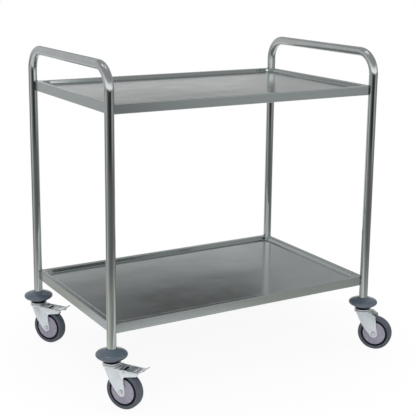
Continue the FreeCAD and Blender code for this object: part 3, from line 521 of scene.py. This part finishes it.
bright_steel, tree, shader, place = finish("bright_steel", STEEL_COLOUR, 1, 0.16)
spots = noise(tree, place, (320, 320, 320), 4, 0.6)
roughen(tree, shader, spots, 0.1, 0.26)
mottle(tree, shader, noise(tree, place, (90, 90, 90)), DULL_STEEL, CLEAN_STEEL)
relief(tree, shader, spots, 0.00003)
dress("shelf_bolts", bright_steel)
dress("post_thread_inserts", bright_steel)


# Bumper rings
# A saucer of slate-grey rubber round the foot of each post, moulded in one piece and pushed on
# before the caster goes in. It keeps the trolley's corners off walls.
# Where each post stands, in metres, and which way its caster trails, in degrees
CORNERS = {
    "front_left": (-0.415, -0.26, -58), "back_left": (-0.415, 0.26, -58),
    "front_right": (0.415, -0.26, -53), "back_right": (0.415, 0.26, -53),
}
BUMPER_HEIGHT = 140
BUMPER_OUTLINE = [
    (12.75, -12), (20.5, -12), (23.2, -11.4), (29.5, -9.8), (35.8, -7.6), (40, -4.8), (42, -1.9),
    (42.45, 0.6), (41.7, 3.2), (39.3, 5.7), (34.6, 8), (28.4, 10), (22.4, 12), (17.4, 14.1),
    (15.4, 15.3), (12.75, 15.5),
]
BUMPER_COLOUR = (0.072, 0.096, 0.124, 1)
RING_STEPS = 72


def under_post(corner):
    """From a caster's own frame, in millimetres with its trail along X, to its place."""
    along, across, turn = CORNERS[corner]
    return (Matrix.Translation((along, across, 0)) @ Matrix.Rotation(math.radians(turn), 4, "Z")
            @ Matrix.Scale(0.001, 4))


def turned(outline, steps, closed=False):
    """Turns an outline of (radius, height) round the upright axis."""
    shape = bmesh.new()
    verts = [shape.verts.new((radius, 0, height)) for radius, height in outline]
    nexts = verts[1:] + verts[:1] if closed else verts[1:]
    edges = [shape.edges.new(pair) for pair in zip(verts, nexts)]
    bmesh.ops.spin(shape, geom=verts + edges, axis=(0, 0, 1), angle=math.tau, steps=steps,
                   use_merge=True)
    bmesh.ops.remove_doubles(shape, verts=shape.verts, dist=MERGE)
    bmesh.ops.recalc_face_normals(shape, faces=shape.faces)
    return shape


slate_rubber, tree, shader, place = finish("slate_rubber", BUMPER_COLOUR, 0, 0.22)
shader.inputs["Specular IOR Level"].default_value = 0.9
bloom = noise(tree, place, (30, 30, 45), 4, 0.6)
pores = noise(tree, place, (1500, 1500, 1500), 2)
mottle(tree, shader, bloom, tinted(BUMPER_COLOUR, 0.95), tinted(BUMPER_COLOUR, 1.06))
roughen(tree, shader, bloom, 0.19, 0.25)
relief(tree, shader, pores, 0.00002)

for corner in CORNERS:
    finished(turned(BUMPER_OUTLINE, RING_STEPS, closed=True), "rubber_ring_" + corner, slate_rubber,
             "frame", "bumper_rubber", "bumper_" + corner,
             place=under_post(corner) @ Matrix.Translation((0, 0, BUMPER_HEIGHT)))


# Caster stems and swivel heads
# A black plastic sleeve with a collar is spread inside each post by the king bolt. Below it sits
# a chromed cup with a rolled edge, which turns on a ring of balls.
CASTER_TOP = 122
CUP_OUTLINE = [
    (5.1, 0), (20.6, 0), (22.6, -0.1), (23.9, -0.7), (24.5, -1.9), (24.45, -3.3), (23.8, -4.4),
    (22.4, -5.0), (20.9, -4.9), (20.3, -4.2), (5.1, -4.2),
]
BLACK = (0.008, 0.008, 0.009, 1)
DEEP_BLACK = (0.006, 0.006, 0.007, 1)
DUSTY_BLACK = (0.013, 0.013, 0.015, 1)

black_plastic, tree, shader, place = finish("black_plastic", BLACK, 0, 0.5)
shader.inputs["Specular IOR Level"].default_value = 0.12
matt = noise(tree, place, (500, 500, 500), 3)
roughen(tree, shader, matt, 0.44, 0.6)
mottle(tree, shader, noise(tree, place, (60, 60, 60)), DEEP_BLACK, DUSTY_BLACK)
relief(tree, shader, matt, 0.00003)

for corner in CORNERS:
    dress("caster_expander_" + corner, black_plastic)
    dress("king_bolt_" + corner, bright_steel)
    dress("ball_ring_" + corner, bright_steel)
    finished(turned(CUP_OUTLINE, RING_STEPS, closed=True), "swivel_cup_" + corner, bright_steel,
             "frame", "bright_steel", "caster_head_" + corner, sharp=50,
             place=under_post(corner) @ Matrix.Translation((0, 0, CASTER_TOP)))


# Forks
# Pressed from 2.5 mm steel sheet and plated with zinc. The front of each cheek is bent inwards,
# a dust ring is rolled on the crown, and the forks at the braked end have arms for the pedal.
FORK_SHEET = 2.5
FORK_INSIDE = 18
CROWN = 112.5
AXLE_REACH = 40
AXLE_HEIGHT = 50
FORK_TIP = 11.2
FORK_FRONT = -15
FRONT_CORNER_HEIGHT = 104
FORK_WAIST = (2.5, 73.5)
FORK_BACK = 46.5
PLAIN_BACK_HEIGHT = 84
PLAIN_BACK = [(43.2, 105.5), (30, CROWN)]
BRAKED_CROWN_BACK = 26
PLAIN_CROWN_BACK = 31
CROWN_HOLLOW = 12.8
HOLLOW_CENTRE = 38.4
LAP = 0.4
ARM_ROOT = 95
ARM_CORNER = 9
ARM_END = [(86, 102), (94.5, 112.5)]
BEND_REACH = 21
BEND_ANGLE = 12
DUST_RING_OUTLINE = [
    (20.9, -1), (20.9, 3.1), (21.5, 3.6), (22.8, 3.7), (23.9, 3.2), (24.5, 2.1), (24.5, 0.9),
    (24.2, 0.1), (24.5, -0.7), (24.5, -1.6), (24, -2.4), (5.1, -2.4), (5.1, 0), (20, 0),
]
ZINC_COLOUR = (0.74, 0.785, 0.81, 1)


def touching(outside, centre, radius, side):
    """Where a straight line from a point meets a circle that it touches."""
    along = math.atan2(outside[1] - centre[1], outside[0] - centre[0])
    angle = along + side * math.acos(radius / math.dist(outside, centre))
    return centre[0] + radius * math.cos(angle), centre[1] + radius * math.sin(angle)


def soften(shape, width):
    """Rounds the edges that turn by more than sixty degrees."""
    edges = [edge for edge in shape.edges if edge.is_manifold
             and edge.calc_face_angle() > math.radians(60)]
    bmesh.ops.bevel(shape, geom=edges, offset=width, segments=2, profile=0.5, affect="EDGES",
                    clamp_overlap=True, material=-1)


def plate(path, low, high, edge):
    """A flat plate between two places across, from its outline of corners (reach, height), with
    its edges rounded. A corner that also names a centre is the end of a round run about it."""
    shape = bmesh.new()
    first = last = shape.verts.new((path[0][0], low, path[0][1]))
    for x, z, *centre in path[1:]:
        if centre:
            start = math.atan2(last.co.z - centre[1], last.co.x - centre[0])
            end = math.atan2(z - centre[1], x - centre[0])
            turn = (end - start + math.pi) % math.tau - math.pi
            made = bmesh.ops.spin(shape, geom=[last], cent=(centre[0], low, centre[1]),
                                  axis=(0, 1, 0), angle=-turn, steps=max(3, round(abs(turn) * 7)))
            last = verts_in(made["geom_last"])[0]
        else:
            step = shape.verts.new((x, low, z))
            shape.edges.new((last, step))
            last = step
    shape.edges.new((last, first))
    face = bmesh.ops.contextual_create(shape, geom=shape.edges[:])["faces"]
    wall = bmesh.ops.extrude_face_region(shape, geom=face)["geom"]
    bmesh.ops.translate(shape, verts=verts_in(wall), vec=(0, high - low, 0))
    bmesh.ops.recalc_face_normals(shape, faces=shape.faces)
    soften(shape, edge)
    return shape


def together(shapes):
    """Puts several drawn shapes into one."""
    whole = shapes[0]
    for part in shapes[1:]:
        mesh = bpy.data.meshes.new("part")
        part.to_mesh(mesh)
        part.free()
        whole.from_mesh(mesh)
        bpy.data.meshes.remove(mesh)
    return whole


def both_sides(shape):
    """Adds the same shape on the other side of the fork's middle."""
    bmesh.ops.mirror(shape, geom=shape.verts[:] + shape.edges[:] + shape.faces[:],
                     matrix=Matrix.Identity(4), merge_dist=-1, axis="Y")
    bmesh.ops.recalc_face_normals(shape, faces=shape.faces)
    return shape


def fork_cheek(braked):
    """Both cheeks, with the arms for the pedal on a braked caster."""
    centre = (AXLE_REACH, AXLE_HEIGHT)
    if braked:
        root = (FORK_BACK, ARM_ROOT - ARM_CORNER)
        bend = (FORK_BACK + ARM_CORNER, ARM_ROOT, FORK_BACK + ARM_CORNER, ARM_ROOT - ARM_CORNER)
        back = [bend] + ARM_END
    else:
        root = (FORK_BACK, PLAIN_BACK_HEIGHT)
        back = PLAIN_BACK
    near_touch = touching(FORK_WAIST, centre, FORK_TIP, 1)
    far_touch = touching(root, centre, FORK_TIP, -1)
    front = [(FORK_FRONT, CROWN), (FORK_FRONT, FRONT_CORNER_HEIGHT), FORK_WAIST, near_touch]
    cheek = plate(front + [(*far_touch, *centre), root] + back,
                  FORK_INSIDE, FORK_INSIDE + FORK_SHEET, edge=0.6)
    bmesh.ops.bisect_plane(cheek, geom=cheek.verts[:] + cheek.edges[:] + cheek.faces[:],
                           plane_co=(BEND_REACH, 0, 0), plane_no=(1, 0, 0))
    bent = [vert for vert in cheek.verts if vert.co.x < BEND_REACH - MERGE]
    bmesh.ops.rotate(cheek, verts=bent, cent=(BEND_REACH, FORK_INSIDE, 0),
                     matrix=Matrix.Rotation(math.radians(BEND_ANGLE), 3, "Z"))
    return both_sides(cheek)


def fork_crown(braked):
    """The plate across the cheeks, hollowed for the wheel where no brake is, and the dust ring."""
    narrow = FORK_INSIDE - (BEND_REACH - FORK_FRONT) * math.tan(math.radians(BEND_ANGLE))
    wide = FORK_INSIDE + LAP
    if braked:
        back = [(BRAKED_CROWN_BACK, -wide), (BRAKED_CROWN_BACK, wide)]
    else:
        back = [(BEND_REACH, -wide), (PLAIN_CROWN_BACK, -wide), (PLAIN_CROWN_BACK, -CROWN_HOLLOW),
                (PLAIN_CROWN_BACK, CROWN_HOLLOW, HOLLOW_CENTRE, 0), (PLAIN_CROWN_BACK, wide),
                (BEND_REACH, wide)]
    path = [(FORK_FRONT, -narrow)] + back + [(FORK_FRONT, narrow)]
    crown = plate(path, 0, FORK_SHEET, edge=0.4)
    bmesh.ops.rotate(crown, verts=crown.verts, matrix=Matrix.Rotation(math.pi / 2, 3, "X"))
    bmesh.ops.translate(crown, verts=crown.verts, vec=(0, 0, CROWN))
    ring = turned(DUST_RING_OUTLINE, RING_STEPS, closed=True)
    bmesh.ops.translate(ring, verts=ring.verts, vec=(0, 0, CROWN))
    return together([crown, ring])


zinc_plate, tree, shader, place = finish("zinc_plate", ZINC_COLOUR, 0.85, 0.36)
crystals = noise(tree, place, (150, 150, 150), 4, 0.6)
stains = noise(tree, place, (45, 45, 30), 3)
stained = blended(tree, ranged(tree, stains, 0, 1), tinted(ZINC_COLOUR, 0.93),
                  tinted(ZINC_COLOUR, 1.06))
tree.links.new(blended(tree, ranged(tree, crystals, 0, 0.6), stained, ZINC_COLOUR),
               shader.inputs["Base Color"])
roughen(tree, shader, crystals, 0.3, 0.42)
relief(tree, shader, crystals, 0.00003)

for corner in CORNERS:
    braked = corner.endswith("left")
    fork = together([fork_cheek(braked), fork_crown(braked)])
    finished(fork, "fork_sheet_" + corner, zinc_plate, "swivel_" + corner, "plated_steel",
             "fork_" + corner, place=under_post(corner), sharp=50)


# Wheels
# A grey tyre is moulded on a black core, which turns on a nylon bush. A mauve-grey disc with faint
# ribs is pressed into each side to keep threads off the bearing.
TYRE_OUTLINE = [
    (39.05, -9.5), (40.2, -12), (40.8, -12.5), (44.6, -12.5), (45.1, -12.15), (45.6, -12.5),
    (46.6, -12.45), (48.3, -11.7), (49.4, -10.2), (49.8, -8), (49.95, -4), (50, 0), (49.95, 4),
    (49.8, 8), (49.4, 10.2), (48.3, 11.7), (46.6, 12.45), (45.6, 12.5), (45.1, 12.15),
    (44.6, 12.5), (40.8, 12.5), (40.2, 12), (39.05, 9.5),
]
DISC_OUTLINE = [
    (9.7, 17.4), (15.1, 17.4), (15.1, 13.75), (33, 11.55), (33.8, 11.55), (33.8, 12.2),
    (33.5, 12.7), (33, 12.95), (32.2, 13.05), (19.3, 14.7), (17.2, 15.4), (16.2, 16.6),
    (15.6, 17.6), (15, 17.85), (9.7, 17.85),
]
WHEEL_STEPS = 96
RIBS = 12
RIB_INNER = 22
RIB_OUTER = 30
RIB_HEIGHT = 0.7
TYRE_COLOUR = (0.068, 0.079, 0.100, 1)
DISC_COLOUR = (0.292, 0.272, 0.336, 1)
NYLON_COLOUR = (0.52, 0.51, 0.46, 1)
SHADED_NYLON = (0.48, 0.47, 0.42, 1)
CLEAN_NYLON = (0.56, 0.55, 0.50, 1)


def on_axle(corner):
    """From a wheel's own frame, its axle along Z with the near side up, to its place."""
    return (under_post(corner) @ Matrix.Translation((AXLE_REACH, 0, AXLE_HEIGHT))
            @ Matrix.Rotation(math.pi / 2, 4, "X"))


def ribbed_disc():
    """One disc, with ribs raised from evenly spaced faces of its outside."""
    disc = turned(DISC_OUTLINE, WHEEL_STEPS, closed=True)
    ribs = []
    for face in disc.faces:
        middle = face.calc_center_median()
        step = round(math.atan2(middle.y, middle.x) / math.tau * WHEEL_STEPS - 0.5)
        in_band = face.normal.z > 0.5 and RIB_INNER < middle.xy.length < RIB_OUTER
        if in_band and step % (WHEEL_STEPS // RIBS) == 0:
            ribs.append(face)
    raised = bmesh.ops.extrude_discrete_faces(disc, faces=ribs)["faces"]
    for face in raised:
        bmesh.ops.translate(disc, verts=face.verts, vec=(0, 0, RIB_HEIGHT))
    return disc


tyre_rubber, tree, shader, place = finish("tyre_rubber", TYRE_COLOUR, 0, 0.55)
dust = noise(tree, place, (55, 55, 55), 4, 0.6)
pores = noise(tree, place, (1300, 1300, 1300), 2)
mottle(tree, shader, dust, tinted(TYRE_COLOUR, 0.86), tinted(TYRE_COLOUR, 1.2))
roughen(tree, shader, dust, 0.48, 0.66)
relief(tree, shader, pores, 0.00003)

disc_plastic, tree, shader, place = finish("disc_plastic", DISC_COLOUR, 0, 0.45)
flow = noise(tree, place, (35, 35, 35), 3)
skin = noise(tree, place, (900, 900, 900), 2)
mottle(tree, shader, flow, tinted(DISC_COLOUR, 0.93), tinted(DISC_COLOUR, 1.08))
roughen(tree, shader, flow, 0.4, 0.5)
relief(tree, shader, skin, 0.00002)

bush_nylon, tree, shader, place = finish("bush_nylon", NYLON_COLOUR, 0, 0.4)
roughen(tree, shader, noise(tree, place, (300, 300, 300)), 0.32, 0.5)
mottle(tree, shader, noise(tree, place, (80, 80, 80)), SHADED_NYLON, CLEAN_NYLON)

for corner in CORNERS:
    wheel = "wheel_" + corner
    dress("wheel_core_" + corner, black_plastic)
    dress("bearing_bush_" + corner, bush_nylon)
    finished(turned(TYRE_OUTLINE, WHEEL_STEPS, closed=True), "moulded_tyre_" + corner, tyre_rubber,
             wheel, "tyre_rubber", "tyre_" + corner, place=on_axle(corner), sharp=50)
    near = ribbed_disc()
    far = ribbed_disc()
    bmesh.ops.rotate(far, verts=far.verts, matrix=Matrix.Rotation(math.pi, 3, "X"))
    finished(together([near, far]), "ribbed_discs_" + corner, disc_plastic, wheel,
             "guard_plastic", "thread_guards_" + corner, place=on_axle(corner), sharp=30)


# Axles
# A plated bolt with a domed head and a washer runs through each fork's tips and the wheel's
# spacer sleeve into a locknut and washer on the far side.
AXLE_RADIUS = 4
SLEEVE_RADIUS = 6
OUTSIDE = FORK_INSIDE + FORK_SHEET
WASHER_RADIUS = 8.2
WASHER_SHEET = 1.2
SEAT = 1
DOME_OUTLINE = [
    (0, 0), (6.2, 0), (6.4, 0.8), (6.2, 1.7), (5.4, 2.8), (4, 3.6), (2.2, 3.95), (0, 4),
]
NUT_ACROSS = 13
NUT_HEIGHT = 6.5
BOLT_END = 2


def rod(radius, low, high, segments=32, chamfer=0.4):
    """An upright rod or hexagon between two heights, its ends chamfered."""
    shape = bmesh.new()
    bmesh.ops.create_cone(shape, cap_ends=True, segments=segments, radius1=radius, radius2=radius,
                          depth=high - low)
    bmesh.ops.translate(shape, verts=shape.verts, vec=(0, 0, (low + high) / 2))
    ends = [edge for edge in shape.edges if abs(edge.verts[0].co.z - edge.verts[1].co.z) < MERGE]
    bmesh.ops.bevel(shape, geom=ends, offset=chamfer, segments=2, profile=0.5, affect="EDGES",
                    material=-1)
    return shape


# The head and the nut sit a little into their washers
for corner in CORNERS:
    dome = turned(DOME_OUTLINE, 40)
    bmesh.ops.translate(dome, verts=dome.verts, vec=(0, 0, OUTSIDE + SEAT))
    bolt = together([
        rod(AXLE_RADIUS, -OUTSIDE - NUT_HEIGHT - BOLT_END, OUTSIDE),
        rod(SLEEVE_RADIUS, -FORK_INSIDE, FORK_INSIDE),
        rod(WASHER_RADIUS, OUTSIDE, OUTSIDE + WASHER_SHEET, 48, 0.35),
        dome,
        rod(WASHER_RADIUS, -OUTSIDE - WASHER_SHEET, -OUTSIDE, 48, 0.35),
        rod(NUT_ACROSS / math.sqrt(3), -OUTSIDE - NUT_HEIGHT, -OUTSIDE - SEAT, 6, 0.8),
    ])
    finished(bolt, "axle_bolt_" + corner, bright_steel, "swivel_" + corner, "bright_steel",
             "axle_" + corner, place=on_axle(corner), sharp=30)


# Toe brakes
# A pressed, brightly plated pedal turns on a riveted pin through the fork's arms. It presses a
# black shoe in its carrier on the tyre. The carrier is partly a real part and partly painted shade:
# it is drawn as a large black block so that the space under the pedal's window shows black.
# Ears are turned down at its sides and its end turns up.
PEDAL_SHEET = 2.2
PEDAL_HALF_WIDTH = 14
PEDAL_TIP_HALF_WIDTH = 10
PEDAL_PATH = [(37, 111.4), (84, 111.4), (95, 114.5), (109.5, 125.5)]
PEDAL_FOLD = 4
PEDAL_TAPER_START = 80
PEDAL_CORNER = 3
PEDAL_WINDOW = (38.5, 60)
WINDOW_BAR = 3.2
PANEL_EDGE = 4.5
PANEL_SLOPE = 1.2
PANEL_DEPTH = 0.9
PEDAL_ROUNDING = 0.5
EAR_HALF_LENGTH = 6.5
EAR_DROP = 4.6
EAR_TOP = 110.8
# The shoe's carrier, drawn large so that it also fills the shade under the pedal's window with
# black: partly painted shade
CARRIER_AND_SHADE_BLOCK = [(28.6, 107.6), (28.6, 104.4), (36, 103.2), (61, 103.2), (61, 107.6)]
SHADE_BLOCK_HALF_WIDTH = 16.8
PIN_REACH = 48
PIN_HEIGHT = 106
PIN_OUTLINE = [
    (0, -21.9), (2, -21.8), (3.6, -21.3), (4.4, -20.5), (2.5, -20.5), (2.5, 20.5), (4.4, 20.5),
    (3.6, 21.3), (2, 21.8), (0, 21.9),
]
TOE_COLOUR = (0.70, 0.72, 0.74, 1)
SMEARED_TOE = (0.64, 0.66, 0.68, 1)
CLEAN_TOE = (0.75, 0.77, 0.79, 1)


def pedal():
    """The pedal's plate: folded, drawn in towards its end, its window cut and its panel pressed."""
    shape = bmesh.new()
    verts = [shape.verts.new((x, -PEDAL_HALF_WIDTH, z)) for x, z in PEDAL_PATH]
    edges = [shape.edges.new(pair) for pair in zip(verts, verts[1:])]
    made = bmesh.ops.extrude_edge_only(shape, edges=edges)["geom"]
    bmesh.ops.translate(shape, verts=verts_in(made), vec=(0, 2 * PEDAL_HALF_WIDTH, 0))
    folds = [edge for edge in shape.edges if edge.is_manifold]
    bmesh.ops.bevel(shape, geom=folds, offset=PEDAL_FOLD, segments=4, profile=0.5,
                    affect="EDGES", material=-1)
    bmesh.ops.recalc_face_normals(shape, faces=shape.faces)
    if sum(face.normal.z * face.calc_area() for face in shape.faces) < 0:
        bmesh.ops.reverse_faces(shape, faces=shape.faces)
    taper = PEDAL_PATH[-1][0] - PEDAL_TAPER_START
    for vert in shape.verts:
        share = max(0.0, (vert.co.x - PEDAL_TAPER_START) / taper)
        vert.co.y *= 1 - share * (1 - PEDAL_TIP_HALF_WIDTH / PEDAL_HALF_WIDTH)
    near, far = PEDAL_WINDOW
    for reach in (near, far):
        bmesh.ops.bisect_plane(shape, geom=shape.verts[:] + shape.edges[:] + shape.faces[:],
                               plane_co=(reach, 0, 0), plane_no=(1, 0, 0))
    opening = [face for face in shape.faces if near < face.calc_center_median().x < far]
    bmesh.ops.inset_region(shape, faces=opening, thickness=WINDOW_BAR, use_even_offset=True)
    bmesh.ops.delete(shape, geom=opening, context="FACES")
    level = [face for face in shape.faces if face.normal.z > 0.99]
    panel = max(level, key=lambda face: face.calc_area())
    bmesh.ops.inset_region(shape, faces=[panel], thickness=PANEL_EDGE, use_even_offset=True)
    bmesh.ops.inset_region(shape, faces=[panel], thickness=PANEL_SLOPE, depth=-PANEL_DEPTH,
                           use_even_offset=True)
    corners = [vert for vert in shape.verts if len(vert.link_edges) == 2]
    bmesh.ops.bevel(shape, geom=corners, offset=PEDAL_CORNER, segments=4, profile=0.5,
                    affect="VERTICES", material=-1)
    bmesh.ops.solidify(shape, geom=shape.faces[:], thickness=PEDAL_SHEET)
    bmesh.ops.recalc_face_normals(shape, faces=shape.faces)
    soften(shape, PEDAL_ROUNDING)
    bmesh.ops.remove_doubles(shape, verts=shape.verts, dist=MERGE)
    return shape


def pedal_ears():
    """The two ears that the pin goes through, below the pedal's sides."""
    front = PIN_REACH - EAR_HALF_LENGTH
    back = PIN_REACH + EAR_HALF_LENGTH
    outline = [(front, EAR_TOP), (front, PIN_HEIGHT), (PIN_REACH, PIN_HEIGHT - EAR_DROP),
               (back, PIN_HEIGHT), (back, EAR_TOP)]
    return both_sides(plate(outline, PEDAL_HALF_WIDTH - PEDAL_SHEET, PEDAL_HALF_WIDTH, edge=0.4))


toe_chrome, tree, shader, place = finish("toe_chrome", TOE_COLOUR, 1, 0.06)
ripples = noise(tree, place, (70, 70, 70), 2)
smears = noise(tree, place, (160, 160, 160), 4, 0.6)
roughen(tree, shader, smears, 0.04, 0.12)
mottle(tree, shader, smears, SMEARED_TOE, CLEAN_TOE)
relief(tree, shader, ripples, 0.00002)

for corner in ("front_left", "back_left"):
    finished(together([pedal(), pedal_ears()]), "toe_pedal_" + corner, toe_chrome,
             "brake_" + corner, "plated_steel", "brake_pedal_" + corner, place=under_post(corner))
    dress("brake_shoe_" + corner, black_plastic)
    # A black block under the pedal's window: partly the shoe's carrier, partly painted shade
    finished(plate(CARRIER_AND_SHADE_BLOCK, -SHADE_BLOCK_HALF_WIDTH, SHADE_BLOCK_HALF_WIDTH, edge=0.8),
             "shoe_carrier_and_shade_block_" + corner, black_plastic, "brake_" + corner, "black_plastic",
             place=under_post(corner), sharp=50)
    through_arms = (under_post(corner) @ Matrix.Translation((PIN_REACH, 0, PIN_HEIGHT))
                    @ Matrix.Rotation(math.pi / 2, 4, "X"))
    finished(turned(PIN_OUTLINE, 32), "pedal_rivet_" + corner, bright_steel, "swivel_" + corner,
             "bright_steel", "brake_pin_" + corner, place=through_arms)
